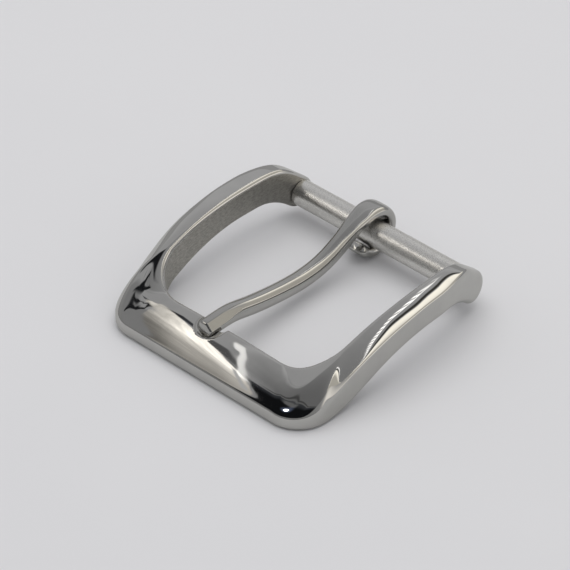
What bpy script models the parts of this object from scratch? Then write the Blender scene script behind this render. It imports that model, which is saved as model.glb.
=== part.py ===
"""Heel-bar belt buckle: cast frame, heel bar fitted between its two arms, and a prong hooked
round the bar.

World frame: +X along the heel bar to the right arm, +Y from the front bar to the heel bar, +Z up,
z = 0 on the flat underside of the front bar. Dimensions are millimetres in a drawing frame whose
y = 0 is the heel-bar axis; MM turns them into metres and Y_MID moves the middle of the whole
buckle to y = 0.
"""

import math
from bisect import bisect_left

import bmesh
import bpy
from mathutils import Matrix, Vector

MM = 0.001

# Heel bar
FIT = 0.3               # gap between the rod and the frame
STRAP_HALF = 19.7       # half the frame's opening at the heel bar
BAR_R = 2.5             # 5 mm rod
BAR_Z = 5.05            # height of the rod's axis
BAR_HALF = STRAP_HALF - FIT     # middle to the shoulders of the full-thickness length
PIN_R = 1.85            # turned-down ends inside the arms
BAR_LEFT = -22.2        # end inside the open left bore
BAR_RIGHT = 21.0        # end inside the blind right bore
CHAMFER = 0.2
ROD_SEGMENTS = 48

# Bores for the heel bar: through the left arm, blind in the right arm
BORE_R = PIN_R + FIT
BORE_LEFT = -30.0       # cutter end, clear of the left arm
BORE_RIGHT = BAR_RIGHT + FIT

# Frame, seen from above; ranges of y run from no effect to full effect
ARM_BOW = 0.9           # outward bow of the arms at ARM_BOW_Y
ARM_BOW_Y = -21.0
ARM_THICK = 4.5         # arm, inner wall to outer face, mid length
ARM_THICK_REAR = 2.4    # the same beyond the heel bar
ARM_THICK_FRONT = 4.2   # the same where it turns into the front bar
THICKEN_Y = (-40.0, -26.0)      # front thickness to mid-length thickness
THIN_Y = (-13.0, 4.5)           # mid-length thickness to rear thickness
FRONT_IN_Y = -39.2      # inner crest of the front bar
FRONT_OUT_Y = -47.2     # outer face of the front bar
CORNER_IN_R = 7.6
CORNER_OUT_R = 5.9
CORNER_IN_Y = FRONT_IN_Y + CORNER_IN_R      # where the corner leaves the arm
CORNER_OUT_Y = FRONT_OUT_Y + CORNER_OUT_R

# Frame, seen from the side
KNUCKLE_R = 3.05        # rounded rear end round the heel bar
KNUCKLE_Y = -0.2        # its centre
KNUCKLE_DIP = math.radians(40.0)    # slope below level, rearwards, where the arm runs into it
KNUCKLE_WIDTH_Y = 2.0   # the arm's thickness here sets the knuckle's edge roundings
REAR_Y = -11.0          # behind this the side profile follows the knuckle
TOP_PULL = (18.0, 22.0)     # tangent lengths of the rear profile at the knuckle and at REAR_Y
UNDER_PULL = (8.0, 12.0)

# Heights along the arm as (y, z): inner crest, shoulder at the outer face, underside
ARM_TOP = (
    (-39.2, 6.1), (-38.3, 6.85), (-36.5, 8.1), (-33.5, 9.5), (-30.0, 10.6),
    (-26.0, 11.6), (-21.0, 12.4), (-15.0, 12.85), (-11.0, 12.9),
)
ARM_SHOULDER = (
    (-47.2, 2.3), (-43.5, 2.5), (-41.0, 3.3), (-38.5, 4.8), (-35.0, 6.8),
    (-30.0, 9.2), (-26.0, 10.5), (-21.0, 11.5), (-16.0, 12.1), (-11.0, 12.2),
)
ARM_UNDER = (
    (-47.2, 0.0), (-40.8, 0.0), (-39.0, 0.25), (-36.0, 1.2), (-32.0, 2.85),
    (-28.0, 4.45), (-24.0, 5.6), (-20.0, 6.35), (-15.5, 6.7), (-11.0, 6.65),
)
UNDER_RISE = 0.6        # the underside climbs this much towards the outer face, mid length
RISE_Y = (-38.0, -24.0)
TOP_FULL = 1.9          # how long the top face stays high before it rolls over the shoulder
TOP_ROLL = 1.3          # how tight that roll is
FRONT_FULL = 2.0        # the same across the front bar
FRONT_ROLL = 1.25
ROLL_FROM = 0.35        # share of the rear profile after which the roll starts to grow

# Edge roundings as (inner edge, outer edge)
TOP_EDGES = (0.95, 0.3)
LOW_EDGES = (0.5, 0.8)
KNUCKLE_EDGES = (0.5, 1.2)

# Rise of the front bar's crest from its corners to its middle
CROWN = 0.4
CROWN_HALF = 20.0       # half the length over which it rises
CROWN_FADE = (0.1, 1.0)     # fades out over this share of the width
CROWN_Y = (-36.0, -40.0)    # fades in between these, going forward

# Seat for the prong tip in the front bar
PRONG_X = -2.95         # the prong stands this far to the left of centre
SEAT_R = 3.2
SEAT_Z = 7.95           # height of the scoop's axis at SEAT_END_Y
SEAT_END_Y = -40.6      # centre of its rounded front end
SEAT_DROP = 0.02        # the scoop's axis falls forward by this much per mm
SEAT_SOFT = 0.35        # softness of its rim
SEAT_REACH = SEAT_R + 0.6   # half length of front bar with closer sections

# Frame sections
KNUCKLE_STEPS = 8
REAR_STEPS = 12
ARM_STEPS = 16
CORNER_STEPS = 12
FRONT_STEPS = 4         # straight front bar, each side of the seat
SEAT_STEPS = 14
ACROSS_COUNT = 15       # points across the top face, and as many across the underside
# Share of the width from inner to outer side, closer together at the two edges
ACROSS = [0.5 - 0.5 * math.cos(math.pi * k / (ACROSS_COUNT - 1)) for k in range(ACROSS_COUNT)]
MERGE = 2e-6            # metres; closes the frame's rear tips

# Prong
LOOP_IN_R = 3.1
LOOP_Z = BAR_Z + 0.3    # the hook's centre stands a little above the rod's axis
LOOP_SETTLE = 0.15      # share of the hook over which it reaches its own radius
STRAP_T = 2.0           # thickness of the strap round the bar
STRAP_W = 4.8
TAIL_ANGLE = math.radians(-152.0)   # where the open hook ends, from +Y about its centre
SHANK = (               # centre line as (y, z), tip to hook
    (-42.6, 6.8), (-41.0, 6.85), (-38.5, 6.9), (-36.3, 6.85), (-34.5, 6.5),
    (-31.0, 5.65), (-27.0, 4.9), (-22.3, 4.25), (-18.0, 3.95), (-14.5, 4.15),
    (-11.3, 4.85), (-8.6, 5.9), (-6.2, 7.15), (-4.2, 8.3), (-2.2, 9.1),
)
SHANK_HALF_W = 1.72
SHANK_HALF_T = 1.68
WIDEN_Y = (-7.0, 1.5)   # the shank widens and squares up towards the strap
FLATTEN_Y = (-8.0, -1.0)    # the shank thins towards the strap
SHANK_POWER = 2.3       # superellipse power of the section: 2 is round, higher is squarer
STRAP_POWER = 5.0
TIP_STEPS = 5           # sections in the rounded tip
TIP_LEAST = 0.55        # size of the first section
TAIL_FROM = 0.9         # share of the hook after which its end narrows
TAIL_LEAST = 0.5        # width of the last section
SHANK_STEPS = 42
LOOP_STEPS = 34
PRONG_SEGMENTS = 24

# The buckle reaches from the front bar's outer face to the back of the hook
Y_MID = -(FRONT_OUT_Y + LOOP_IN_R + STRAP_T) / 2


# Curves and spacing

def mix(start, end, t):
    return start + (end - start) * t


def ease(start, end, value):
    """0 at start to 1 at end, level at both."""
    t = min(1.0, max(0.0, (value - start) / (end - start)))
    return t * t * (3 - 2 * t)


def hermite(start, end, start_tangent, end_tangent, t):
    return (start * ((1 + 2 * t) * (1 - t) ** 2) + start_tangent * (t * (1 - t) ** 2)
            + end * (t * t * (3 - 2 * t)) + end_tangent * (t * t * (t - 1)))


def curve(points, y):
    """Monotone cubic through (y, value) pairs, flat beyond the ends."""
    ys, values = zip(*points)
    if y <= ys[0]:
        return values[0]
    if y >= ys[-1]:
        return values[-1]
    slopes = [(v1 - v0) / (y1 - y0) for (y0, v0), (y1, v1) in zip(points, points[1:])]
    middle = [0.0 if a * b <= 0 else 2 * a * b / (a + b) for a, b in zip(slopes, slopes[1:])]
    tangents = [slopes[0], *middle, slopes[-1]]
    i = bisect_left(ys, y) - 1
    span = ys[i + 1] - ys[i]
    return hermite(values[i], values[i + 1], span * tangents[i], span * tangents[i + 1],
                   (y - ys[i]) / span)


def spaced(start, end, count):
    """Even steps from start, leaving out end."""
    return [mix(start, end, i / count) for i in range(count)]


# Meshes, materials and objects

def skin(rows, capped):
    """Tube through closed rows of points; its ends are capped, or merged where they pinch shut."""
    bm = bmesh.new()
    grid = [[bm.verts.new(point * MM) for point in row] for row in rows]
    count = len(grid[0])
    for a, b in zip(grid, grid[1:]):
        for j in range(count):
            k = (j + 1) % count
            bm.faces.new((a[j], a[k], b[k], b[j]))
    if capped:
        bm.faces.new(grid[0])
        bm.faces.new(grid[-1])
    else:
        bmesh.ops.remove_doubles(bm, verts=bm.verts, dist=MERGE)
    bmesh.ops.recalc_face_normals(bm, faces=bm.faces)
    return bm


def make_material(name, colour, metallic, roughness):
    material = bpy.data.materials.new(name)
    material.use_nodes = True
    inputs = material.node_tree.nodes["Principled BSDF"].inputs
    inputs["Base Color"].default_value = (*colour, 1.0)
    inputs["Metallic"].default_value = metallic
    inputs["Roughness"].default_value = roughness
    return material


def make_object(name, bm, **look):
    """Smooth-shaded object centred in y, with a material of the same name."""
    mesh = bpy.data.meshes.new(name)
    bmesh.ops.translate(bm, verts=bm.verts, vec=Vector((0.0, Y_MID * MM, 0.0)))
    bm.to_mesh(mesh)
    bm.free()
    for polygon in mesh.polygons:
        polygon.use_smooth = True
    mesh.materials.append(make_material(name, **look))
    obj = bpy.data.objects.new(name, mesh)
    bpy.context.collection.objects.link(obj)
    return obj


# Frame. A section is a list of (top, underside) point pairs, one for each share f in ACROSS.

def inner_x(y):
    """Distance of an arm's inner wall from the middle."""
    k = (y - ARM_BOW_Y) / ARM_BOW_Y
    return STRAP_HALF + ARM_BOW * (1 - k * k)


def outer_x(y):
    """Distance of an arm's outer face from the middle."""
    thick = mix(ARM_THICK_FRONT, ARM_THICK, ease(*THICKEN_Y, y))
    return inner_x(y) + thick + (ARM_THICK_REAR - ARM_THICK) * ease(*THIN_Y, y)


def rounding(f, width, edges):
    """How far a face falls back near its inner and outer edges."""
    fall = 0.0
    for distance, radius in zip((f * width, (1 - f) * width), edges):
        if distance < radius:
            fall += radius - math.sqrt(max(0.0, radius ** 2 - (radius - distance) ** 2))
    return fall


def over_top(f, top, shoulder, full, roll):
    """Height of the top face from the inner crest to the shoulder."""
    return shoulder + (top - shoulder) * max(0.0, 1 - f ** full) ** (1 / roll)


def on_arm(point, f):
    """Place a side-view (y, z) point at share f of the arm's thickness."""
    y, z = point
    return Vector((mix(inner_x(y), outer_x(y), f), y, z))


# Side-view (y, z) axes of the knuckle: rearwards along the arm, and square to it
KNUCKLE_CENTRE = Vector((KNUCKLE_Y, BAR_Z))
KNUCKLE_ALONG = Vector((math.cos(KNUCKLE_DIP), -math.sin(KNUCKLE_DIP)))
KNUCKLE_UP = Vector((math.sin(KNUCKLE_DIP), math.cos(KNUCKLE_DIP)))


def knuckle_section(angle):
    """Section of the rounded rear end; the angle is 90 degrees at its tip."""
    width = outer_x(KNUCKLE_WIDTH_Y) - inner_x(KNUCKLE_WIDTH_Y)
    section = []
    for f in ACROSS:
        radius = KNUCKLE_R - rounding(f, width, KNUCKLE_EDGES)
        middle = KNUCKLE_CENTRE + KNUCKLE_ALONG * (radius * math.sin(angle))
        rise = KNUCKLE_UP * (radius * math.cos(angle))
        section.append((on_arm(middle + rise, f), on_arm(middle - rise, f)))
    return section


def rear_section(t):
    """Section between the knuckle (t = 0) and REAR_Y (t = 1)."""
    def profile(start, height, pulls):
        return hermite(start, Vector((REAR_Y, height)), KNUCKLE_ALONG * -pulls[0],
                       Vector((-pulls[1], 0.0)), t)

    crest = curve(ARM_TOP, REAR_Y)
    top = profile(KNUCKLE_CENTRE + KNUCKLE_UP * KNUCKLE_R, crest, TOP_PULL)
    under = profile(KNUCKLE_CENTRE - KNUCKLE_UP * KNUCKLE_R, curve(ARM_UNDER, REAR_Y), UNDER_PULL)
    drop = (crest - curve(ARM_SHOULDER, REAR_Y)) * ease(ROLL_FROM, 1.0, t)
    top_edges = [mix(a, b, t) for a, b in zip(KNUCKLE_EDGES, TOP_EDGES)]
    low_edges = [mix(a, b, t) for a, b in zip(KNUCKLE_EDGES, LOW_EDGES)]
    y_mean = 0.5 * (top.x + under.x)
    width = outer_x(y_mean) - inner_x(y_mean)
    up = (top - under).normalized()
    section = []
    for f in ACROSS:
        high = top - up * rounding(f, width, top_edges)
        high.y += over_top(f, 0.0, -drop, TOP_FULL, TOP_ROLL)
        low = under + up * (rounding(f, width, low_edges) + UNDER_RISE * t * f)
        section.append((on_arm(high, f), on_arm(low, f)))
    return section


def plan_section(inner, outer, width, under_in, turn):
    """Section between two plan-view (x, y) points; turn runs from 0 on the arm to 1 on the bar."""
    top = curve(ARM_TOP, inner.y)
    shoulder = curve(ARM_SHOULDER, outer.y)
    under_out = curve(ARM_UNDER, outer.y) + UNDER_RISE * ease(*RISE_Y, outer.y)
    full = mix(TOP_FULL, FRONT_FULL, turn)
    roll = mix(TOP_ROLL, FRONT_ROLL, turn)
    section = []
    for f in ACROSS:
        x, y = inner.lerp(outer, f)
        high = over_top(f, top, shoulder, full, roll) - rounding(f, width, TOP_EDGES)
        low = mix(under_in, under_out, f) + rounding(f, width, LOW_EDGES)
        section.append((Vector((x, y, high)), Vector((x, y, low))))
    return section


def side_section(inner, outer, turn):
    """Plan section of the right arm or its corner."""
    return plan_section(inner, outer, (outer - inner).length, curve(ARM_UNDER, inner.y), turn)


def corner_point(wall_x, radius, start_y, angle):
    y = start_y - radius * math.sin(angle)
    return Vector((wall_x(y) - radius + radius * math.cos(angle), y))


def right_sections():
    """Sections from the right arm's rear tip to the end of its front corner."""
    sections = [knuckle_section(angle) for angle in spaced(0.5 * math.pi, 0.0, KNUCKLE_STEPS)]
    sections += [rear_section(t) for t in spaced(0.0, 1.0, REAR_STEPS)]
    for y_in, y_out in zip(spaced(REAR_Y, CORNER_IN_Y, ARM_STEPS),
                           spaced(REAR_Y, CORNER_OUT_Y, ARM_STEPS)):
        inner = Vector((inner_x(y_in), y_in))
        outer = Vector((outer_x(y_out), y_out))
        sections.append(side_section(inner, outer, 0.0))
    for i in range(CORNER_STEPS + 1):
        angle = 0.5 * math.pi * i / CORNER_STEPS
        inner = corner_point(inner_x, CORNER_IN_R, CORNER_IN_Y, angle)
        outer = corner_point(outer_x, CORNER_OUT_R, CORNER_OUT_Y, angle)
        sections.append(side_section(inner, outer, ease(0.0, CORNER_STEPS, i)))
    return sections


def front_sections():
    """Sections of the straight front bar, right to left, between the two corners."""
    end_in = inner_x(FRONT_IN_Y) - CORNER_IN_R
    end_out = outer_x(FRONT_OUT_Y) - CORNER_OUT_R
    seat_right = PRONG_X + SEAT_REACH
    seat_left = PRONG_X - SEAT_REACH
    xs = (spaced(end_in, seat_right, FRONT_STEPS) + spaced(seat_right, seat_left, SEAT_STEPS)
          + spaced(seat_left, -end_in, FRONT_STEPS))
    return [plan_section(Vector((x, FRONT_IN_Y)), Vector((x / end_in * end_out, FRONT_OUT_Y)),
                         width=FRONT_IN_Y - FRONT_OUT_Y, under_in=0.0, turn=1.0)
            for x in xs[1:]]


def mirrored(point):
    return Vector((-point.x, point.y, point.z))


def crown(x, y, f):
    """Extra height of the front bar's top face towards its middle."""
    if abs(x) >= CROWN_HALF:
        return 0.0
    along = math.cos(0.5 * math.pi * x / CROWN_HALF) ** 2
    return CROWN * along * (1 - ease(*CROWN_FADE, f)) * ease(*CROWN_Y, y)


def seat(x, y, z):
    """Height z of the top face at (x, y) with the rounded scoop taken out."""
    across = x - PRONG_X
    ahead = min(0.0, y - SEAT_END_Y)
    depth_squared = SEAT_R ** 2 - across * across - ahead * ahead
    if depth_squared <= 0.0:
        return z
    floor = SEAT_Z + SEAT_DROP * (y - SEAT_END_Y) - math.sqrt(depth_squared)
    near = max(SEAT_SOFT - abs(z - floor), 0.0) / SEAT_SOFT
    return min(z, floor) - near * near * SEAT_SOFT * 0.25


def build_frame():
    right = right_sections()
    left = [[(mirrored(top), mirrored(low)) for top, low in section]
            for section in reversed(right)]
    rows = []
    for section in right + front_sections() + left:
        tops = [Vector((top.x, top.y, seat(top.x, top.y, top.z + crown(top.x, top.y, f))))
                for (top, _), f in zip(section, ACROSS)]
        rows.append(tops + [low for _, low in reversed(section)])
    return make_object("frame", skin(rows, capped=False),
                       colour=(0.60, 0.60, 0.59), metallic=1.0, roughness=0.12)


# Heel bar and its bores

def rod(profile):
    """A closed round body on the heel-bar axis through (x, radius) pairs."""
    angles = [2 * math.pi * i / ROD_SEGMENTS for i in range(ROD_SEGMENTS)]
    rows = [[Vector((x, r * math.cos(a), BAR_Z + r * math.sin(a))) for a in angles]
            for x, r in profile]
    return skin(rows, capped=True)


def build_heel_bar():
    profile = (
        (BAR_LEFT, PIN_R - CHAMFER),
        (BAR_LEFT + CHAMFER, PIN_R),
        (-BAR_HALF, PIN_R),
        (-BAR_HALF, BAR_R - CHAMFER),
        (-BAR_HALF + CHAMFER, BAR_R),
        (BAR_HALF - CHAMFER, BAR_R),
        (BAR_HALF, BAR_R - CHAMFER),
        (BAR_HALF, PIN_R),
        (BAR_RIGHT - CHAMFER, PIN_R),
        (BAR_RIGHT, PIN_R - CHAMFER),
    )
    make_object("heel_bar", rod(profile),
                colour=(0.62, 0.60, 0.58), metallic=1.0, roughness=0.38)


def cut_bores(frame):
    cutter = make_object("bore_cutter", rod(((BORE_LEFT, BORE_R), (BORE_RIGHT, BORE_R))),
                         colour=(0.5, 0.5, 0.5), metallic=0.0, roughness=0.5)
    cutter.hide_render = True
    cutter.display_type = "WIRE"
    cut = frame.modifiers.new("bores", "BOOLEAN")
    cut.operation = "DIFFERENCE"
    cut.solver = "EXACT"
    cut.object = cutter


# Prong

def prong_path():
    """Centre line as ((y, z) point, share of the hook), the share being 0 along the shank."""
    tip_y = SHANK[0][0]
    hook_y, hook_z = SHANK[-1]
    path = []
    for i in range(SHANK_STEPS + 1):
        y = mix(tip_y, hook_y, i / SHANK_STEPS)
        path.append((Vector((y, curve(SHANK, y))), 0.0))
    start_angle = math.atan2(hook_z - LOOP_Z, hook_y)
    start_radius = math.hypot(hook_z - LOOP_Z, hook_y)
    for i in range(1, LOOP_STEPS + 1):
        t = i / LOOP_STEPS
        angle = mix(start_angle, TAIL_ANGLE, t)
        radius = mix(start_radius, LOOP_IN_R + 0.5 * STRAP_T, ease(0.0, LOOP_SETTLE, t))
        path.append((Vector((radius * math.cos(angle), LOOP_Z + radius * math.sin(angle))), t))
    return path


def round_off(k, least):
    """Scale that falls along a quarter ellipse from 1 at k = 0 to least at k = 1."""
    return least + (1 - least) * math.sqrt(max(0.0, 1 - k * k))


def build_prong():
    path = prong_path()
    rows = []
    for i, (centre, t) in enumerate(path):
        ahead = path[min(len(path) - 1, i + 1)][0] - path[max(0, i - 1)][0]
        ahead.normalize()
        normal = Vector((-ahead.y, ahead.x))
        on_shank = t == 0.0
        widen = ease(*WIDEN_Y, centre.x) if on_shank else 1.0
        flatten = ease(*FLATTEN_Y, centre.x) if on_shank else 1.0
        tip = round_off(max(0.0, 1 - i / TIP_STEPS), TIP_LEAST)
        tail = round_off(max(0.0, (t - TAIL_FROM) / (1 - TAIL_FROM)), TAIL_LEAST)
        half_w = mix(SHANK_HALF_W, 0.5 * STRAP_W, widen) * tip * tail
        # the tail loses half as much thickness as width
        half_t = mix(SHANK_HALF_T, 0.5 * STRAP_T, flatten) * tip * (0.5 + 0.5 * tail)
        exponent = 2 / mix(SHANK_POWER, STRAP_POWER, widen)
        row = []
        for j in range(PRONG_SEGMENTS):
            angle = 2 * math.pi * j / PRONG_SEGMENTS
            cosine, sine = math.cos(angle), math.sin(angle)
            side = half_w * math.copysign(abs(cosine) ** exponent, cosine)
            lift = half_t * math.copysign(abs(sine) ** exponent, sine)
            row.append(Vector((PRONG_X + side, *(centre + normal * lift))))
        rows.append(row)
    return make_object("prong", skin(rows, capped=True),
                       colour=(0.60, 0.60, 0.59), metallic=1.0, roughness=0.14)


def hinge(prong):
    """Let the prong turn about the heel bar's axis."""
    axis = bpy.data.objects.new("prong_axis", None)
    bpy.context.collection.objects.link(axis)
    axis.location = Vector((PRONG_X, Y_MID, BAR_Z)) * MM
    prong.data.transform(Matrix.Translation(-axis.location))
    prong.parent = axis


for old in list(bpy.data.objects):
    bpy.data.objects.remove(old, do_unlink=True)

buckle_frame = build_frame()
build_heel_bar()
buckle_prong = build_prong()
cut_bores(buckle_frame)
hinge(buckle_prong)
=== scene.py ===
"""A steel buckle: a frame, a heel bar across its rear, and a prong hooked round that bar.

X runs across (+X right), the front bar lies towards -Y, the heel bar towards +Y, Z is up.
Shapes are worked out in millimetres with y = 0 on the heel bar's axis.
"""

import math

import bmesh
import bpy
import numpy as np
from mathutils import Matrix, Vector


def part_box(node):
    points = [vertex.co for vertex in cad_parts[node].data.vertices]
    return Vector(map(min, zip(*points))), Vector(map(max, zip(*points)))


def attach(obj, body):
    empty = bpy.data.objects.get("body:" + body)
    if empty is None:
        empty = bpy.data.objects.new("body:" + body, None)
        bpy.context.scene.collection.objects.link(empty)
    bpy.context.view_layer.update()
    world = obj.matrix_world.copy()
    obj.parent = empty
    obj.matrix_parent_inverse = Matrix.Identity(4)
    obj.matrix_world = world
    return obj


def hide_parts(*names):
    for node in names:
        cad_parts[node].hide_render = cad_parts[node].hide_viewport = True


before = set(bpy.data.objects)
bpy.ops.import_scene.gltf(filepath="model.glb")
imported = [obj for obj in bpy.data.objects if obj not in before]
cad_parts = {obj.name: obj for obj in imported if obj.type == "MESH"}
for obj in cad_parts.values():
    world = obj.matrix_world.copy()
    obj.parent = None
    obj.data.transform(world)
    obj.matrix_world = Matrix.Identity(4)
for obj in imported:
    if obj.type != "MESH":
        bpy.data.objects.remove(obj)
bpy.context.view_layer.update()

MM = 0.001
Y_MID = 21.05               # added to every y to centre the buckle in the scene
BOX_INSET = 2e-7            # metres kept between a mesh and its CAD box

# ---------------------------------------------------------------- heel bar sizes
BAR_R = 2.5
BAR_Z = 5.05
BAR_LEFT = -22.2
BAR_RIGHT = 21.0
BAR_SHOULDER_X = 19.66      # the thick part ends here on both sides
PIN_R = 1.85
FIT = 0.3                   # clearance of the pins in their bores
BORE_LEFT = -30.0           # beyond the left arm, so that bore is open
BORE_RIGHT = BAR_RIGHT + FIT

# ---------------------------------------------------------------- frame sizes
STRAP_HALF = 19.7           # inner half width at the heel bar
ARM_BOW = 0.9               # the arms bow outwards by this at ARM_BOW_Y
ARM_BOW_Y = -21.0
ARM_THICK = 4.5
ARM_THICK_REAR = 2.4
ARM_THICK_FRONT = 4.2
REAR_Y = -11.0              # the straight run of the arms ends here
FRONT_IN_Y = -39.2
FRONT_OUT_Y = -47.2
CORNER_IN_R = 7.6
CORNER_OUT_R = 5.9
CORNER_IN_Y = FRONT_IN_Y + CORNER_IN_R
CORNER_OUT_Y = FRONT_OUT_Y + CORNER_OUT_R
UNDER_RISE = 0.6            # the underside is higher by this at the outer face
CROWN = 0.40                # the front bar's crest rises this much towards its middle
CROWN_HALF = 20.0

# side outlines of the arms: (y, z)
ARM_TOP = (
    (-39.2, 6.1), (-38.3, 6.85), (-36.5, 8.1), (-33.5, 9.5), (-30.0, 10.6), (-26.0, 11.6),
    (-21.0, 12.4), (-15.0, 12.85), (-11.0, 12.9))
ARM_SHOULDER = (
    (-47.2, 2.3), (-43.5, 2.5), (-41.0, 3.3), (-38.5, 4.8), (-35.0, 6.8), (-30.0, 9.2),
    (-26.0, 10.5), (-21.0, 11.5), (-16.0, 12.1), (-11.0, 12.2))
ARM_UNDER = (
    (-47.2, 0.0), (-40.8, 0.0), (-39.0, 0.25), (-36.0, 1.2), (-32.0, 2.85), (-28.0, 4.45),
    (-24.0, 5.6), (-20.0, 6.35), (-15.5, 6.7), (-11.0, 6.65))

# exponents of the top face's slope from its inner to its outer edge
TOP_FULL = 1.9
TOP_ROLL = 1.3
FRONT_FULL = 2.0
FRONT_ROLL = 1.25
# edge radii: (inner, outer)
EDGE_TOP = (0.95, 0.3)
EDGE_LOW = (0.5, 0.8)
EDGE_END = (0.5, 1.2)

# rounded rear ends of the arms; points in a side view are (y, z)
KNUCKLE_R = 3.05
KNUCKLE_WIDTH_Y = 2.0       # the width for the edge rounding is taken here
KNUCKLE_DIP = math.radians(40.0)
KNUCKLE_CENTRE = Vector((-0.2, BAR_Z))
KNUCKLE_ALONG = Vector((math.cos(KNUCKLE_DIP), -math.sin(KNUCKLE_DIP)))
KNUCKLE_UP = Vector((math.sin(KNUCKLE_DIP), math.cos(KNUCKLE_DIP)))

# hollow in the front bar under the prong's tip
PRONG_X = -2.95
SEAT_R = 3.2
SEAT_Z = 7.95               # height of the hollow's axis
SEAT_END_Y = -40.6
SEAT_DROP = 0.02
SEAT_SOFT = 0.35
SEAT_REACH = SEAT_R + 0.6   # half width of the finely divided part of the bar

# mesh divisions
KNUCKLE_STEPS = 14
REAR_STEPS = 44
ARM_STEPS = 60
CORNER_STEPS = 44
FRONT_STEPS = 34            # on each side of the seat
SEAT_STEPS = 64
WALL_STEPS = 8
ACROSS = 45
# shares of the way from the inner to the outer face
LEVELS = [0.5 - 0.5 * math.cos(math.pi * k / (ACROSS - 1)) for k in range(ACROSS)]

# ---------------------------------------------------------------- prong sizes
LOOP_IN_R = 3.1
LOOP_Z = BAR_Z + 0.3
LOOP_T = 2.0
LOOP_W = 4.8
LOOP_MID_R = LOOP_IN_R + 0.5 * LOOP_T
TAIL_ANGLE = math.radians(-152.0)
SHANK_HALF_W = 1.72
SHANK_HALF_T = 1.68
SHANK_STEPS = 230
LOOP_STEPS = 150
PRONG_AROUND = 72
WIDEN_Y = -8.0              # the shank starts to flatten into the loop here
# centre line of the shank from its tip: (y, z)
SHANK = (
    (-42.6, 6.8), (-41.0, 6.85), (-38.5, 6.9), (-36.3, 6.85), (-34.5, 6.5), (-31.0, 5.65),
    (-27.0, 4.9), (-22.3, 4.25), (-18.0, 3.95), (-14.5, 4.15), (-11.3, 4.85), (-8.6, 5.9),
    (-6.2, 7.15), (-4.2, 8.3), (-2.2, 9.1))
# flats at the tip: (normal across, normal up, depth)
TIP_FLATS = ((0.74, 0.67, 0.20), (0.0, 1.0, 0.05))


# ---------------------------------------------------------------- curves
def blend(share, start, end):
    return start + (end - start) * share


def ease(start, end, value):
    t = min(1.0, max(0.0, (value - start) / (end - start)))
    return t * t * (3 - 2 * t)


def hermite(t, start, start_pull, end, end_pull):
    return (start * ((1 + 2 * t) * (1 - t) ** 2) + start_pull * (t * (1 - t) ** 2)
            + end * (t * t * (3 - 2 * t)) + end_pull * (t * t * (t - 1)))


def curve(points, y):
    """Height at y on a curve through the points that doesn't overshoot them."""
    if y <= points[0][0]:
        return points[0][1]
    if y >= points[-1][0]:
        return points[-1][1]
    slopes = [(b[1] - a[1]) / (b[0] - a[0]) for a, b in zip(points, points[1:])]
    inner = [0.0 if a * b <= 0 else 2 * a * b / (a + b) for a, b in zip(slopes, slopes[1:])]
    tangents = [slopes[0]] + inner + [slopes[-1]]
    i = next(i for i, point in enumerate(points[1:]) if y <= point[0])
    (y0, z0), (y1, z1) = points[i:i + 2]
    step = y1 - y0
    return hermite((y - y0) / step, z0, step * tangents[i], z1, step * tangents[i + 1])


def even_out(values, reach, spread):
    """Gaussian average over `reach` samples to each side."""
    weights = np.exp(-0.5 * (np.arange(-reach, reach + 1) / spread) ** 2)
    weights /= weights.sum()
    return np.convolve(np.pad(values, reach, mode="edge"), weights, mode="valid")


def smooth_curve(points, width, step=0.25):
    """The curve with its small changes of bend evened out, as a fast table."""
    margin = 6.0
    ys = np.arange(points[0][0] - margin, points[-1][0] + margin, step)
    heights = even_out(np.array([curve(points, y) for y in ys]), 24, width / step)
    return lambda y: float(np.interp(y, ys, heights))


top_at = smooth_curve(ARM_TOP, width=1.0)
shoulder_at = smooth_curve(ARM_SHOULDER, width=1.2)
under_at = smooth_curve(ARM_UNDER, width=0.8)


# ---------------------------------------------------------------- frame shape
def inner_x(y):
    k = (y - ARM_BOW_Y) / ARM_BOW_Y
    return STRAP_HALF + ARM_BOW * (1 - k * k)


def outer_x(y):
    thick = blend(ease(-40.0, -26.0, y), ARM_THICK_FRONT, ARM_THICK)
    return inner_x(y) + thick + (ARM_THICK_REAR - ARM_THICK) * ease(-13.0, 4.5, y)


def edge_fall(f, width, radii):
    """How far rounded inner and outer edges lower a face at share f of its width."""
    fall = 0.0
    for distance, radius in zip((f * width, (1 - f) * width), radii):
        if distance < radius:
            fall += radius - math.sqrt(max(0.0, radius * radius - (radius - distance) ** 2))
    return fall


def over_top(f, top, shoulder, full, roll):
    return shoulder + (top - shoulder) * max(0.0, 1 - f ** full) ** (1 / roll)


def seat(x, y, z):
    """z lowered into the prong's seat, with a softened rim."""
    across = x - PRONG_X
    ahead = min(0.0, y - SEAT_END_Y)
    depth_squared = SEAT_R ** 2 - across * across - ahead * ahead
    if depth_squared <= 0.0:
        return z
    floor_z = SEAT_Z + SEAT_DROP * (y - SEAT_END_Y) - math.sqrt(depth_squared)
    near = max(SEAT_SOFT - abs(z - floor_z), 0.0) / SEAT_SOFT
    return min(z, floor_z) - near * near * SEAT_SOFT * 0.25


def crown(x, y, f):
    """Extra height of the front bar's top face towards its middle."""
    if abs(x) >= CROWN_HALF:
        return 0.0
    rise = CROWN * math.cos(0.5 * math.pi * x / CROWN_HALF) ** 2
    return rise * (1 - ease(0.1, 1.0, f)) * ease(-36.0, -40.0, y)


# A ring is one section of the frame: (top, low) point pairs from its inner to its outer face.
def on_arm(point, f):
    y, z = point
    return Vector((blend(f, inner_x(y), outer_x(y)), y, z))


def knuckle_ring(angle):
    width = outer_x(KNUCKLE_WIDTH_Y) - inner_x(KNUCKLE_WIDTH_Y)
    ring = []
    for f in LEVELS:
        radius = KNUCKLE_R - edge_fall(f, width, EDGE_END)
        middle = KNUCKLE_CENTRE + KNUCKLE_ALONG * (radius * math.sin(angle))
        rise = KNUCKLE_UP * (radius * math.cos(angle))
        ring.append((on_arm(middle + rise, f), on_arm(middle - rise, f)))
    return ring


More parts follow.
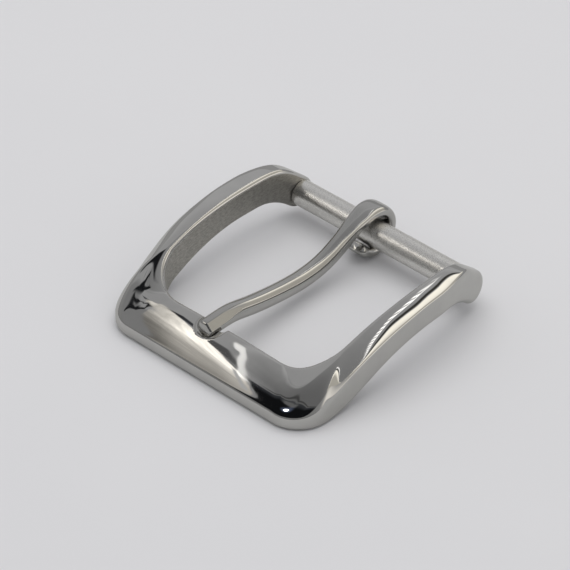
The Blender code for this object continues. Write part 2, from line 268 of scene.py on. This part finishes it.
def rear_ring(t):
    """Section between the knuckle (t = 0) and the arm proper (t = 1)."""
    top = hermite(t, KNUCKLE_CENTRE + KNUCKLE_UP * KNUCKLE_R, -KNUCKLE_ALONG * 18.0,
                  Vector((REAR_Y, top_at(REAR_Y))), Vector((-22.0, 0.0)))
    low = hermite(t, KNUCKLE_CENTRE - KNUCKLE_UP * KNUCKLE_R, -KNUCKLE_ALONG * 8.0,
                  Vector((REAR_Y, under_at(REAR_Y))), Vector((-12.0, 0.0)))
    drop = (top_at(REAR_Y) - shoulder_at(REAR_Y)) * ease(0.35, 1.0, t)
    y = 0.5 * (top.x + low.x)
    width = outer_x(y) - inner_x(y)
    up = (top - low).normalized()
    most = 0.5 * (top - low).length * 0.98
    top_radii = [blend(t, a, b) for a, b in zip(EDGE_END, EDGE_TOP)]
    low_radii = [blend(t, a, b) for a, b in zip(EDGE_END, EDGE_LOW)]
    ring = []
    for f in LEVELS:
        upper = top - up * min(edge_fall(f, width, top_radii), most)
        upper.y += over_top(f, 0.0, -drop, TOP_FULL, TOP_ROLL)
        lower = low + up * min(edge_fall(f, width, low_radii) + UNDER_RISE * t * f, most)
        ring.append((on_arm(upper, f), on_arm(lower, f)))
    return ring


def arm_ring(inner, outer, front_share):
    """Section of an arm or corner between two plan points."""
    share = ease(0.0, 1.0, front_share)
    full = blend(share, TOP_FULL, FRONT_FULL)
    roll = blend(share, TOP_ROLL, FRONT_ROLL)
    top, shoulder = top_at(inner.y), shoulder_at(outer.y)
    under_in = under_at(inner.y)
    under_out = under_at(outer.y) + UNDER_RISE * ease(-38.0, -24.0, outer.y)
    width = (outer - inner).length
    ring = []
    for f in LEVELS:
        x, y = inner.lerp(outer, f)
        z = over_top(f, top, shoulder, full, roll) - edge_fall(f, width, EDGE_TOP)
        low = blend(f, under_in, under_out) + edge_fall(f, width, EDGE_LOW)
        ring.append((Vector((x, y, z)), Vector((x, y, low))))
    return ring


def corner_point(angle, side_x, start_y, radius):
    """Plan point on the right front corner, whose arc leaves the arm's side at start_y."""
    centre = Vector((side_x(start_y) - radius, start_y))
    point = centre + Vector((math.cos(angle), -math.sin(angle))) * radius
    point.x += side_x(point.y) - side_x(start_y)
    return point


def corner_points(angle):
    return (corner_point(angle, inner_x, CORNER_IN_Y, CORNER_IN_R),
            corner_point(angle, outer_x, CORNER_OUT_Y, CORNER_OUT_R))


def front_ring(x, inner_end, outer_end):
    """Section of the front bar at inner-face x; the ends are where the corners stop."""
    top, shoulder = top_at(FRONT_IN_Y), shoulder_at(FRONT_OUT_Y)
    width = FRONT_IN_Y - FRONT_OUT_Y
    ring = []
    for f in LEVELS:
        px = x / inner_end * blend(f, inner_end, outer_end)
        y = FRONT_IN_Y - width * f
        z = over_top(f, top, shoulder, FRONT_FULL, FRONT_ROLL) - edge_fall(f, width, EDGE_TOP)
        ring.append((Vector((px, y, z)), Vector((px, y, edge_fall(f, width, EDGE_LOW)))))
    return ring


def right_rings():
    """Sections from the right rear end to the end of the right front corner."""
    rings = [knuckle_ring(0.5 * math.pi * (1 - i / KNUCKLE_STEPS)) for i in range(KNUCKLE_STEPS)]
    rings += [rear_ring(i / REAR_STEPS) for i in range(REAR_STEPS)]
    for i in range(ARM_STEPS):
        t = i / ARM_STEPS
        y_in = blend(t, REAR_Y, CORNER_IN_Y)
        y_out = blend(t, REAR_Y, CORNER_OUT_Y)
        rings.append(arm_ring(Vector((inner_x(y_in), y_in)), Vector((outer_x(y_out), y_out)),
                              ease(0.35, 1.0, t)))
    for i in range(CORNER_STEPS + 1):
        rings.append(arm_ring(*corner_points(0.5 * math.pi * i / CORNER_STEPS), 1.0))
    return rings


def front_rings():
    inner_end, outer_end = (point.x for point in corner_points(0.5 * math.pi))
    right, left = PRONG_X + SEAT_REACH, PRONG_X - SEAT_REACH
    xs = [blend(i / FRONT_STEPS, inner_end, right) for i in range(1, FRONT_STEPS + 1)]
    xs += [blend(i / SEAT_STEPS, right, left) for i in range(1, SEAT_STEPS)]
    xs += [blend(i / FRONT_STEPS, left, -inner_end) for i in range(FRONT_STEPS)]
    return [front_ring(x, inner_end, outer_end) for x in xs]


def frame_grid():
    """Closed loops from the right rear end round to the left one, and their satin shares."""
    right = right_rings()
    left = [[[Vector((-p.x, p.y, p.z)) for p in pair] for pair in ring]
            for ring in reversed(right)]
    wall = [k / WALL_STEPS for k in range(1, WALL_STEPS)]
    rows = []
    for ring in right + front_rings() + left:
        tops = [Vector((p.x, p.y, seat(p.x, p.y, p.z + crown(p.x, p.y, f))))
                for (p, _), f in zip(ring, LEVELS)]
        lows = [low for _, low in ring]
        rows.append(tops + [tops[-1].lerp(lows[-1], k) for k in wall]
                    + lows[::-1] + [lows[0].lerp(tops[0], k) for k in wall])
    # only the inner wall and its edges are satin
    satin = [float(f < 0.002) for f in LEVELS] + [0.0] * len(wall)
    satin += [float(f < 0.05) for f in reversed(LEVELS)] + [1.0] * len(wall)
    return rows, satin * len(rows)


# ---------------------------------------------------------------- mesh making
def grid_mesh(name, rows, box=None, satin=None):
    """A closed body from rows of equal loops, clamped into a CAD box if one is given."""
    count = len(rows[0])
    co = np.array([[(x, y + Y_MID, z) for x, y, z in row] for row in rows], float)
    co = co.reshape(-1, 3) * MM
    if box is not None:
        co = np.clip(co, np.array(box[0]) + BOX_INSET, np.array(box[1]) - BOX_INSET)
    faces = []
    for start in range(0, (len(rows) - 1) * count, count):
        for j in range(count):
            k = (j + 1) % count
            faces.append((start + j, start + k, start + count + k, start + count + j))
    faces.append(tuple(range(count - 1, -1, -1)))
    faces.append(tuple(range((len(rows) - 1) * count, len(rows) * count)))
    mesh = bpy.data.meshes.new(name)
    mesh.from_pydata([tuple(c) for c in co], [], faces)
    if satin is not None:
        layer = mesh.attributes.new("satin", "FLOAT", "POINT")
        layer.data.foreach_set("value", np.array(satin, np.float32))
    bm = bmesh.new()
    bm.from_mesh(mesh)
    bmesh.ops.remove_doubles(bm, verts=bm.verts, dist=2e-7)
    bmesh.ops.recalc_face_normals(bm, faces=bm.faces)
    bm.to_mesh(mesh)
    bm.free()
    return mesh


def link_object(name, data):
    obj = bpy.data.objects.new(name, data)
    bpy.context.scene.collection.objects.link(obj)
    return obj


def smooth(mesh, sharp_degrees):
    for polygon in mesh.polygons:
        polygon.use_smooth = True
    mesh.set_sharp_from_angle(angle=math.radians(sharp_degrees))


def show(mesh, body, node, sharp_degrees):
    smooth(mesh, sharp_degrees)
    obj = link_object(mesh.name, mesh)
    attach(obj, body)
    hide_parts(node)
    return obj


def rod_rows(profile, segments):
    """Loops about the heel bar's axis from (x, radius) points."""
    turns = [2 * math.pi * i / segments for i in range(segments)]
    return [[(x, r * math.cos(a), BAR_Z + r * math.sin(a)) for a in turns] for x, r in profile]


# ---------------------------------------------------------------- pieces
def make_casting():
    """The frame, with the bores for the heel bar's pins cut out."""
    rows, satin = frame_grid()
    mesh = grid_mesh("frame_casting", rows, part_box("frame"), satin)
    casting = show(mesh, "frame", "frame", 55.0)
    bore_r = PIN_R + FIT
    bore = rod_rows(((BORE_LEFT, bore_r), (BORE_RIGHT, bore_r)), 96)
    cutter = link_object("cutter", grid_mesh("cutter", bore))
    cut = casting.modifiers.new("bores", "BOOLEAN")
    cut.operation = "DIFFERENCE"
    cut.solver = "EXACT"
    cut.object = cutter
    bpy.context.view_layer.update()
    evaluated = casting.evaluated_get(bpy.context.evaluated_depsgraph_get())
    cut_mesh = bpy.data.meshes.new_from_object(evaluated)
    casting.modifiers.clear()
    casting.data = cut_mesh
    bpy.data.objects.remove(cutter)
    smooth(cut_mesh, 55.0)
    return casting


def make_heel_bar():
    """A straight rod with eased edges and a thinner pin at each end."""
    end = BAR_SHOULDER_X
    profile = [
        (BAR_LEFT, PIN_R - 0.35), (BAR_LEFT + 0.12, PIN_R - 0.12), (BAR_LEFT + 0.35, PIN_R),
        (-end, PIN_R), (-end, BAR_R - 0.10), (-end + 0.03, BAR_R - 0.03), (-end + 0.10, BAR_R)]
    profile += [(blend(i / 40, -end + 0.10, end - 0.10), BAR_R) for i in range(1, 40)]
    profile += [
        (end - 0.10, BAR_R), (end - 0.03, BAR_R - 0.03), (end, BAR_R - 0.10), (end, PIN_R),
        (BAR_RIGHT - 0.2, PIN_R), (BAR_RIGHT, PIN_R - 0.2)]
    mesh = grid_mesh("heel_bar_rod", rod_rows(profile, 128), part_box("heel_bar"))
    return show(mesh, "frame", "heel_bar", 35.0)


def prong_line():
    """Centre line (y, z) from the tip along the shank and round the loop."""
    (first_y, _), (last_y, last_z) = SHANK[0], SHANK[-1]
    shank_at = smooth_curve(SHANK, width=0.5, step=0.1)
    line = []
    for i in range(SHANK_STEPS + 1):
        y = blend(i / SHANK_STEPS, first_y, last_y)
        line.append((y, shank_at(y) if y < -3.2 else curve(SHANK, y)))
    start_angle = math.atan2(last_z - LOOP_Z, last_y)
    start_r = math.hypot(last_z - LOOP_Z, last_y)
    for i in range(1, LOOP_STEPS + 1):
        t = i / LOOP_STEPS
        angle = blend(t, start_angle, TAIL_ANGLE)
        r = blend(ease(0.0, 0.15, t), start_r, LOOP_MID_R)
        line.append((r * math.cos(angle), LOOP_Z + r * math.sin(angle)))
    line = np.array(line)
    # even out the run from shank to loop, but leave both ends as they are
    evened = np.stack([even_out(column, 12, 4.0) for column in line.T], 1)
    line[14:-14] = evened[14:-14]
    return line


def prong_rows():
    line = prong_line()
    length = np.concatenate([[0.0], np.cumsum(np.hypot(*np.diff(line, axis=0).T))])
    widen_start = np.interp(WIDEN_Y, line[:SHANK_STEPS, 0], length[:SHANK_STEPS])
    rows = []
    for i in range(len(line)):
        middle = Vector(line[i])
        ahead = Vector(line[min(len(line) - 1, i + 1)] - line[max(0, i - 1)]).normalized()
        normal = Vector((-ahead.y, ahead.x))
        past = float(length[i] - widen_start)
        flat = ease(0.0, 11.0, past)
        half_w = blend(flat, SHANK_HALF_W, 0.5 * LOOP_W)
        half_t = blend(ease(-1.0, 8.5, past), SHANK_HALF_T, 0.5 * LOOP_T)
        power = 2 / (2.15 + 0.85 * flat)    # rounder on the shank, squarer on the loop
        on_shank = i <= SHANK_STEPS
        if on_shank:                        # blunt round tip
            k = min(1.0, (middle.x - SHANK[0][0]) / 0.75)
            shrink = 0.72 + 0.28 * math.sqrt(max(0.0, 1 - (1 - k) ** 2))
            half_t *= shrink
        else:                               # eased end of the loop
            k = max(0.0, ((i - SHANK_STEPS) / LOOP_STEPS - 0.93) / 0.07)
            shrink = 0.6 + 0.4 * math.sqrt(max(0.0, 1 - k * k))
            half_t *= 0.5 + 0.5 * shrink
        half_w *= shrink
        row = []
        for j in range(PRONG_AROUND):
            angle = 2 * math.pi * j / PRONG_AROUND
            c, s = math.cos(angle), math.sin(angle)
            across = half_w * math.copysign(abs(c) ** power, c)
            up = half_t * math.copysign(abs(s) ** power, s)
            if on_shank and middle.x < -35.0:
                share = ease(-35.6, -38.4, middle.x)
                for normal_x, normal_up, depth in TIP_FLATS:
                    excess = across * normal_x + up * normal_up
                    excess -= min(half_w, half_t) - depth * share
                    if excess > 0:
                        across -= normal_x * excess
                        up -= normal_up * excess
            row.append((PRONG_X + across, *(middle + normal * up)))
        rows.append(row)
    return rows


casting = make_casting()
heel_bar = make_heel_bar()
prong = show(grid_mesh("prong_forging", prong_rows(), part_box("prong")),
             "prong", "prong", 50.0)


# ---------------------------------------------------------------- shader building
class Signal:
    """A shader output; arithmetic on it adds Math nodes."""

    def __init__(self, nodes, socket):
        self.nodes = nodes
        self.socket = socket

    def __add__(self, other):
        return self.nodes.math("ADD", self, other)

    def __sub__(self, other):
        return self.nodes.math("SUBTRACT", self, other)

    def __rsub__(self, other):
        return self.nodes.math("SUBTRACT", other, self)

    def __mul__(self, other):
        return self.nodes.math("MULTIPLY", self, other)

    def __rmul__(self, other):
        return self.nodes.math("MULTIPLY", other, self)

    def __truediv__(self, other):
        return self.nodes.math("DIVIDE", self, other)

    def max(self, other):
        return self.nodes.math("MAXIMUM", self, other)

    def min(self, other):
        return self.nodes.math("MINIMUM", self, other)

    def ramp(self, start, end, before=0.0, after=1.0):
        """A smooth step from `before` at start to `after` at end."""
        return self.nodes.add("MapRange", (self, start, end, before, after),
                              interpolation_type="SMOOTHSTEP")

    def band(self, start, end, soft, end_soft=None):
        """1 between start and end, with soft edges."""
        end_soft = end_soft or soft
        return (self.ramp(start - soft, start + soft)
                * self.ramp(end - end_soft, end + end_soft, 1.0, 0.0))


class Nodes:
    """Adds and links the nodes of one shader tree."""

    def __init__(self, tree):
        self.tree = tree

    def fill(self, node, inputs):
        """Set or link inputs, given in order or by name or number."""
        for key, value in inputs.items() if isinstance(inputs, dict) else enumerate(inputs):
            if isinstance(value, Signal):
                self.tree.links.new(value.socket, node.inputs[key])
            else:
                node.inputs[key].default_value = value

    def add(self, kind, inputs=(), output=0, **settings):
        node = self.tree.nodes.new("ShaderNode" + kind)
        for name, value in settings.items():
            setattr(node, name, value)
        self.fill(node, inputs)
        return Signal(self, node.outputs[output])

    def math(self, operation, first, second=0.0, *third):
        return self.add("Math", (first, second, *third), operation=operation)

    def axes(self, vector):
        split = self.add("SeparateXYZ", (vector,)).socket.node
        return [Signal(self, socket) for socket in split.outputs]

    def scaled(self, vector, *factors):
        return self.add("VectorMath", (vector, factors), operation="MULTIPLY")

    def millimetres(self):
        return self.scaled(self.add("TexCoord", output="Object"), 1000.0, 1000.0, 1000.0)

    def mix(self, factor, first, second, blend_type="MIX"):
        first, second = ((*c, 1) if isinstance(c, tuple) else c for c in (first, second))
        return self.add("Mix", {0: factor, 6: first, 7: second}, 2,
                        data_type="RGBA", blend_type=blend_type)

    def mix_value(self, factor, first, second):
        return self.add("Mix", {0: factor, 2: first, 3: second}, data_type="FLOAT")

    def noise(self, vector, scale, detail, roughness=0.5):
        return self.add("TexNoise", {"Vector": vector, "Scale": scale, "Detail": detail,
                                     "Roughness": roughness})

    def tone(self, level, tint=(1.0, 1.0, 1.01)):
        return self.add("CombineColor", [self.math("MULTIPLY", level, t) for t in tint])


def new_material(name):
    mat = bpy.data.materials.new(name)
    mat.use_nodes = True
    bsdf = next(n for n in mat.node_tree.nodes if n.type == "BSDF_PRINCIPLED")
    return mat, Nodes(mat.node_tree), bsdf


# ---------------------------------------------------------------- metals
def finish_metal(nodes, bsdf, base, rough, height):
    """Wire up a metal; height is in millimetres."""
    bump = nodes.add("Bump", {"Strength": 1.0, "Distance": MM, "Height": height})
    nodes.fill(bsdf, {"Base Color": base, "Metallic": 1.0, "Roughness": rough, "Normal": bump})


def polish(nodes, p, shade, smoothest, roughest):
    """Colour, roughness and height of faintly smudged polished steel."""
    smudge = nodes.noise(p, scale=0.16, detail=3.0, roughness=0.55)
    grain = nodes.noise(nodes.scaled(p, 1.0, 0.35, 1.0), scale=9.0, detail=4.0, roughness=0.6)
    light = tuple(c * shade for c in (0.66, 0.655, 0.64))
    dark = tuple(c * shade for c in (0.62, 0.615, 0.605))
    base = nodes.mix(smudge.ramp(0.3, 0.7), light, dark)
    rough = smudge.ramp(0.35, 0.7, smoothest, roughest) + grain.ramp(0.50, 0.8, 0.0, 0.030)
    waves = nodes.noise(p, scale=0.55, detail=1.0, roughness=0.4)
    return base, rough, waves * 0.0012 + grain * 0.00004


def frame_steel():
    """Polished steel with a pitted cast surface where the satin attribute is set; painted shade
    darkens that surface towards the rear.
    """
    mat, nodes, bsdf = new_material("polished_steel")
    p = nodes.millimetres()
    base, rough, height = polish(nodes, p, shade=1.0, smoothest=0.012, roughest=0.040)
    satin = nodes.add("Attribute", output="Fac", attribute_name="satin").ramp(0.35, 0.95)
    fine = nodes.noise(p, scale=26.0, detail=3.0, roughness=0.65)
    pits = nodes.noise(p, scale=3.4, detail=5.0, roughness=0.62)
    cast = nodes.noise(nodes.scaled(p, 1.0, 0.45, 1.3), scale=3.2, detail=6.0, roughness=0.72)
    rear_painted_shade = nodes.axes(p)[1].ramp(-14.0, 19.0, 1.0, 0.80)      # painted shade: darker towards the rear, near the heel bar
    # satin colour: cast tone, then painted shade towards the rear, then dark pits
    satin_tone_and_shade = nodes.mix(cast.ramp(0.30, 0.72), (0.33, 0.32, 0.30), (0.60, 0.59, 0.56))
    satin_tone_and_shade = nodes.mix(1.0, satin_tone_and_shade, nodes.add("CombineColor", [rear_painted_shade] * 3), "MULTIPLY")
    satin_tone_and_shade = nodes.mix(pits.ramp(0.62, 0.76, 0.0, 0.45), satin_tone_and_shade, (0.20, 0.19, 0.175))
    base = nodes.mix(satin, base, satin_tone_and_shade)
    rough = nodes.mix_value(satin, rough, cast.ramp(0.3, 0.7, 0.36, 0.50))
    height = nodes.mix_value(satin, height, pits * 0.022 + fine * 0.006)
    finish_metal(nodes, bsdf, base, rough, height)
    return mat


def prong_steel():
    mat, nodes, bsdf = new_material("prong_steel")
    surface = polish(nodes, nodes.millimetres(), shade=0.86, smoothest=0.070, roughest=0.130)
    finish_metal(nodes, bsdf, *surface)
    return mat


def bar_steel():
    """Satin steel with draw lines along x and dark specks."""
    mat, nodes, bsdf = new_material("satin_steel")
    p = nodes.millimetres()
    draw = nodes.noise(nodes.scaled(p, 0.25, 1.6, 1.6), scale=5.0, detail=4.0, roughness=0.65)
    speck = nodes.noise(p, scale=7.0, detail=4.0, roughness=0.7)
    base = nodes.mix(draw.ramp(0.3, 0.7), (0.80, 0.79, 0.77), (0.95, 0.94, 0.92))
    base = nodes.mix(speck.ramp(0.56, 0.72, 0.0, 0.55), base, (0.30, 0.29, 0.27))
    rough = speck.ramp(0.3, 0.7, 0.24, 0.36)
    finish_metal(nodes, bsdf, base, rough, draw * 0.010 + speck * 0.007)
    return mat


metals = (frame_steel(), prong_steel(), bar_steel())
for obj, mat in zip((casting, prong, heel_bar), metals):
    obj.data.materials.clear()
    obj.data.materials.append(mat)


# ---------------------------------------------------------------- floor
def make_square(name, half, face):
    mesh = bpy.data.meshes.new(name)
    corners = [(-half, -half, 0), (half, -half, 0), (half, half, 0), (-half, half, 0)]
    mesh.from_pydata(corners, [], [face])
    return link_object(name, mesh)


floor = make_square("floor", 1.5, (0, 1, 2, 3))
mat, nodes, bsdf = new_material("pale_floor")
clouds = nodes.noise(nodes.millimetres(), scale=0.02, detail=3.0)
pale = nodes.mix(clouds, (0.71, 0.71, 0.727), (0.735, 0.735, 0.75))
glossy = nodes.add("LightPath", output="Is Glossy Ray")
mirrored_floor_shade = (0.53, 0.53, 0.525)      # painted shade: the floor as the metal sees it, darker than the camera sees it
nodes.fill(bsdf, {"Base Color": nodes.mix(glossy, pale, mirrored_floor_shade), "Roughness": 0.85})
floor.data.materials.append(mat)

# ---------------------------------------------------------------- world
WARM = (1.0, 0.955, 0.88)
WHITE = (1.0, 0.99, 0.97)
COOL = (0.93, 0.97, 1.0)
INK = (0.95, 1.0, 1.12)
AMBER = (1.0, 0.955, 0.85)
BROWN = (1.0, 0.95, 0.85)
BLUE = (0.7, 0.85, 1.3)

world = bpy.data.worlds.new("studio")
bpy.context.scene.world = world
world.use_nodes = True
nodes = Nodes(world.node_tree)
background = next(n for n in world.node_tree.nodes if n.type == "BACKGROUND")
direction = nodes.add("TexCoord", output="Generated")
_, dir_y, dir_z = nodes.axes(direction)
ambient = nodes.mix(dir_z.ramp(-0.02, 0.35), (0.50, 0.50, 0.50), (0.58, 0.58, 0.588))
mirror = nodes.mix(dir_y.ramp(-0.6, 0.3), (0.24, 0.24, 0.238), (0.34, 0.34, 0.338))
# bright window low down at the right and behind
toward = nodes.add("VectorMath", (direction, (0.86, 0.50, 0.10)), 1, operation="DOT_PRODUCT")
low_window = toward.ramp(0.80, 0.98) * dir_z.ramp(-0.02, 0.02)
mirror = nodes.mix(low_window, mirror, tuple(c * 1.15 for c in WARM))
glossy = nodes.add("LightPath", output="Is Glossy Ray")
nodes.fill(background, {"Color": nodes.mix(glossy, ambient, mirror), "Strength": 1.0})

# ---------------------------------------------------------------- light tent ceiling
# Seen only in the metal. Its pattern is laid out in units of CEILING_H.
CEILING_H = 0.130
CEILING_MM = MM / CEILING_H
ceiling = make_square("ceiling", 3.0 * CEILING_H, (3, 2, 1, 0))
ceiling.location = (0.0, (-44.0 + Y_MID) * MM, CEILING_H + 0.005)
for ray in ("camera", "diffuse", "shadow", "transmission"):
    setattr(ceiling, "visible_" + ray, False)
mat = bpy.data.materials.new("ceiling")
mat.use_nodes = True
mat.node_tree.nodes.clear()
nodes = Nodes(mat.node_tree)
tone = nodes.tone
surface = mat.node_tree.nodes.new("ShaderNodeOutputMaterial")
coord = nodes.add("TexCoord", output="Object")
x, y, _ = nodes.axes(nodes.scaled(coord, 1 / CEILING_H, 1 / CEILING_H, 1.0))

# where on the buckle a ray comes from: louvres hide the lamps from the other places
back_x, back_y, back_z = nodes.axes(nodes.add("NewGeometry", output="Incoming"))
from_x = x - back_x / back_z
from_y = y - back_y / back_z


def ramp_mm(signal, start, end, before=0.0, after=1.0):
    return signal.ramp(start * CEILING_MM, end * CEILING_MM, before, after)


def from_between(left, right):
    return from_x.band(left * CEILING_MM, right * CEILING_MM, CEILING_MM)


at_left = ramp_mm(from_x, -12.5, -15.5)
at_middle = from_between(-16.0, 13.0)
at_arms = ramp_mm(from_y, 5.5, 9.0)
at_front = ramp_mm(from_y, 6.5, 5.0)

# distances from the soft box's right-hand edge, which bends away, and from its slanted end
ahead = (-0.05 - y).max(0.0)
side = x - (-0.545 - 0.12 * ahead - 0.15 * (ahead * ahead) - 0.12 * y.max(0.0))
end = 3.1 * x + y + 2.43

# walls of the tent, with a lighter line along the soft box's edge
left_wall = nodes.math("MULTIPLY_ADD", y.ramp(-0.30, -0.18), 0.13, 0.26)
right_wall = y.ramp(-0.60, 0.55, 0.165, 0.35)
back_wall = y.ramp(0.4, 1.2, 0.0, 0.07)
share = x.ramp(-0.62, -0.50)
level = left_wall * (1.0 - share) + right_wall * share + back_wall
light = tone(level + side.band(-0.005, 0.05, 0.01, 0.03) * 0.08)

# black cloth in front, its edge rising to the left, with grey bands along and inside it
cloth = (-0.45 - 0.60 * (-0.40 - x).max(0.0) - 0.62 * (x + 0.40).max(0.0).min(0.40)
         - 0.25 * x.max(0.0).min(1.0))
under = cloth - y
light = nodes.mix(under.band(-0.055, -0.025, 0.012) * side.ramp(0.03, 0.06), light, tone(0.07))
light = nodes.mix(under.ramp(-0.015, 0.015) * side.ramp(0.002, 0.010), light,
                  tone(under.ramp(0.0, 0.16, 0.05, 0.008), INK))
light = nodes.mix(under.band(0.02, 0.10, 0.02, 0.03) * x.band(-0.30, 0.15, 0.08, 0.10),
                  light, tone(0.15))


def bent_edge(height, bends):
    """y of an edge that drops to the left; bends are (slope, start x, run or None)."""
    for slope, start, run in bends:
        gone = (start - x).max(0.0)
        height = height - slope * (gone.min(run) if run else gone)
    return height


# black card with bent edges above the left corner: its place depends on the viewing height
low_edge = bent_edge(0.01, ((3.3, -0.825, 0.075), (0.76, -0.90, 0.21), (0.37, -1.11, None)))
high_edge = bent_edge(-0.04, ((0.9, -0.45, 0.15), (0.46, -0.60, 0.25), (0.24, -0.85, None)))
higher = ramp_mm(from_y, 1.6, 2.8)
lower_card = (y - low_edge).band(-0.030, 0.024, 0.012) * x.band(-2.3, -0.826, 0.1, 0.006)
upper_card = (y - high_edge).band(-0.028, 0.024, 0.010) * x.band(-2.3, -0.43, 0.1, 0.03)
card = at_left * (lower_card * (1.0 - higher)).max(upper_card * higher)
light = nodes.mix(card, light, tone(0.012, INK))
# straight black card for the left arm
card = y.band(0.02, 0.160, 0.02, 0.03) * x.band(-3.0, -0.25, 0.2, 0.04)
light = nodes.mix(at_left * ramp_mm(from_y, 4.6, 5.8) * card, light, tone(0.012, INK))
# dark card for the left half of the front bar
card_y = y + 1.9 * (x + 0.81).max(0.0) + 0.11 * ramp_mm(from_x, -12.0, -15.0)
card = card_y.band(0.072, 0.172, 0.02) * x.band(-2.2, -0.735, 0.1, 0.02)
light = nodes.mix(at_front * ramp_mm(from_x, -3.0, -5.0) * card, light,
                  tone(x.ramp(-0.84, -0.76, 0.02, 0.06), INK))
# grey card beyond the soft box's slanted end
card = y.band(-0.52, -0.13, 0.02, 0.03) * (
    x.band(-0.75, -0.598, 0.02, 0.010) * side.ramp(-0.002, -0.010)) * end.ramp(0.0, 0.04)
light = nodes.mix(at_front * from_between(-4.0, 9.0) * card, light, tone(0.11))

# soft box: bright at its far end, fading towards the front and to the left, with streaks
width = nodes.math("MULTIPLY_ADD", y.ramp(-0.15, 0.0), 0.02, 0.262)
glow = end.ramp(-1.05, -0.50, 0.56, 1.10) + end.ramp(-0.53, -0.40, 0.0, 0.62)
glow = glow + (side.ramp(-0.10, -0.03, 0.0, 0.12) + y.ramp(-1.6, -0.9, -0.16, 0.0))
stretched = nodes.add("CombineXYZ", (x * 55.0, y * 4.0))
streaks = nodes.noise(stretched, scale=1.0, detail=3.0, roughness=0.6)
glow = glow * streaks.ramp(0.3, 0.7, 0.84, 1.10)
glow = glow * (side + width).ramp(-0.012, 0.085, 0.44, 1.0)
glow = glow * ramp_mm(from_y, 37.0, 42.0, 1.0, 1.9)
louvre = at_middle.min(ramp_mm(from_y, 7.0, 9.0, 1.0, 0.0)).max(ramp_mm(from_y, 32.0, 38.0))
outline = end.ramp(0.022, -0.022) * (x.ramp(-0.663, -0.671) * side.ramp(-0.002, -0.008))
outline = outline * (side + width).ramp(-0.024, -0.004)
light = nodes.mix(louvre * outline, light, tone(glow, WARM))
light = nodes.mix(side.band(-0.034, -0.018, 0.004) * y.band(-1.30, -0.60, 0.10, 0.03),
                  light, tone(0.55))

# thin strip with a comb of slots
comb = nodes.math("SINE", (y + x * 0.6) * 84.0).ramp(-0.15, 0.35, 0.06, 1.0)
shifted = side + y.ramp(-0.45, -0.62) * 0.010
strip = shifted.band(-0.008, 0.013, 0.003, 0.004).max(
    side.band(-0.026, 0.020, 0.004) * y.ramp(0.02, 0.05)) * y.band(-0.74, 0.30, 0.05, 0.06)
strip = strip * at_front * from_between(0.5, 13.0)
comb = comb.max(shifted.ramp(-0.004, -0.008) * y.ramp(0.02, -0.03))
light = nodes.mix(strip * comb, light, tone(2.0, WHITE))

# slanting strip light overhead, a dark rim behind it and a wide warm window beyond
slant = nodes.math("LOGARITHM", ((y + 0.02) * 1.887).max(0.0005), 2.71828) + 2.0 * x
window = slant.ramp(0.38, 0.46) * ramp_mm(from_y, 2.0, 9.0).max(x.ramp(0.6, 0.8))
light = nodes.mix(window, light, tone(slant.ramp(0.5, 1.7, 1.45, 0.55), AMBER))
light = nodes.mix(slant.band(0.23, 0.37, 0.03), light, tone(0.05, BROWN))
slots = nodes.math("SINE", (x + y * -0.35) * 62.0).ramp(-0.3, 0.5, 0.18, 1.0)
strip = slant.band(-0.08, 0.07, 0.03, 0.02) * slots.max(slant.ramp(0.02, 0.06))
strip = at_arms.max(x.ramp(0.45, 0.65)) * (strip * x.ramp(-0.45, -0.25))
light = nodes.mix(strip, light, tone(2.0, WHITE))


def squared_gap(signal, centre):
    return (signal - centre) * (signal - centre)


# small lamp low in front, with a blue halo
lamp = nodes.math("SQRT", squared_gap(x, -0.05) + squared_gap(y, -0.95) * 2.0)
light = nodes.mix(lamp.ramp(0.30, 0.05, 0.0, 0.22), light, tone(0.8, BLUE))
light = nodes.mix(lamp.ramp(0.12, 0.07), light, tone(7.0, COOL))
nodes.fill(surface, (nodes.add("Emission", {"Color": light}),))
ceiling.data.materials.append(mat)

# ---------------------------------------------------------------- soft light, not mirrored
lamp_data = bpy.data.lights.new("soft_top", "AREA")
lamp_data.shape = "DISK"
lamp_data.size = 0.70
lamp_data.energy = 1.48
lamp_data.color = (1.0, 0.99, 0.975)
soft_top = link_object("soft_top", lamp_data)
soft_top.location = (-0.06, 0.05, 0.55)
to_origin = -Vector((-0.06, 0.05, 0.55))
soft_top.rotation_euler = to_origin.to_track_quat("-Z", "Y").to_euler()
soft_top.visible_glossy = False

# ---------------------------------------------------------------- camera
AZIMUTH = math.radians(42.916)      # from -Y towards +X
ELEVATION = math.radians(38.0)
DISTANCE = 613.71208
TARGET = Vector((0.0, -22.0 + Y_MID, 4.0))
backward = Vector((math.sin(AZIMUTH) * math.cos(ELEVATION),
                   -math.cos(AZIMUTH) * math.cos(ELEVATION), math.sin(ELEVATION)))
rightward = Vector((math.cos(AZIMUTH), math.sin(AZIMUTH), 0.0))
cam_data = bpy.data.cameras.new("camera")
cam_data.sensor_width = 36.0
cam_data.lens = 221.0526316
cam_data.shift_x = -0.0224929825
cam_data.shift_y = 0.0199157895
cam_data.clip_start = 0.01
cam_data.clip_end = 10.0
camera = link_object("camera", cam_data)
pose = Matrix((rightward, backward.cross(rightward), backward)).transposed().to_4x4()
pose.translation = TARGET * MM + backward * (DISTANCE * MM)
camera.matrix_world = pose
scene = bpy.context.scene
scene.camera = camera
scene.view_settings.view_transform = "Standard"
scene.view_settings.look = "None"
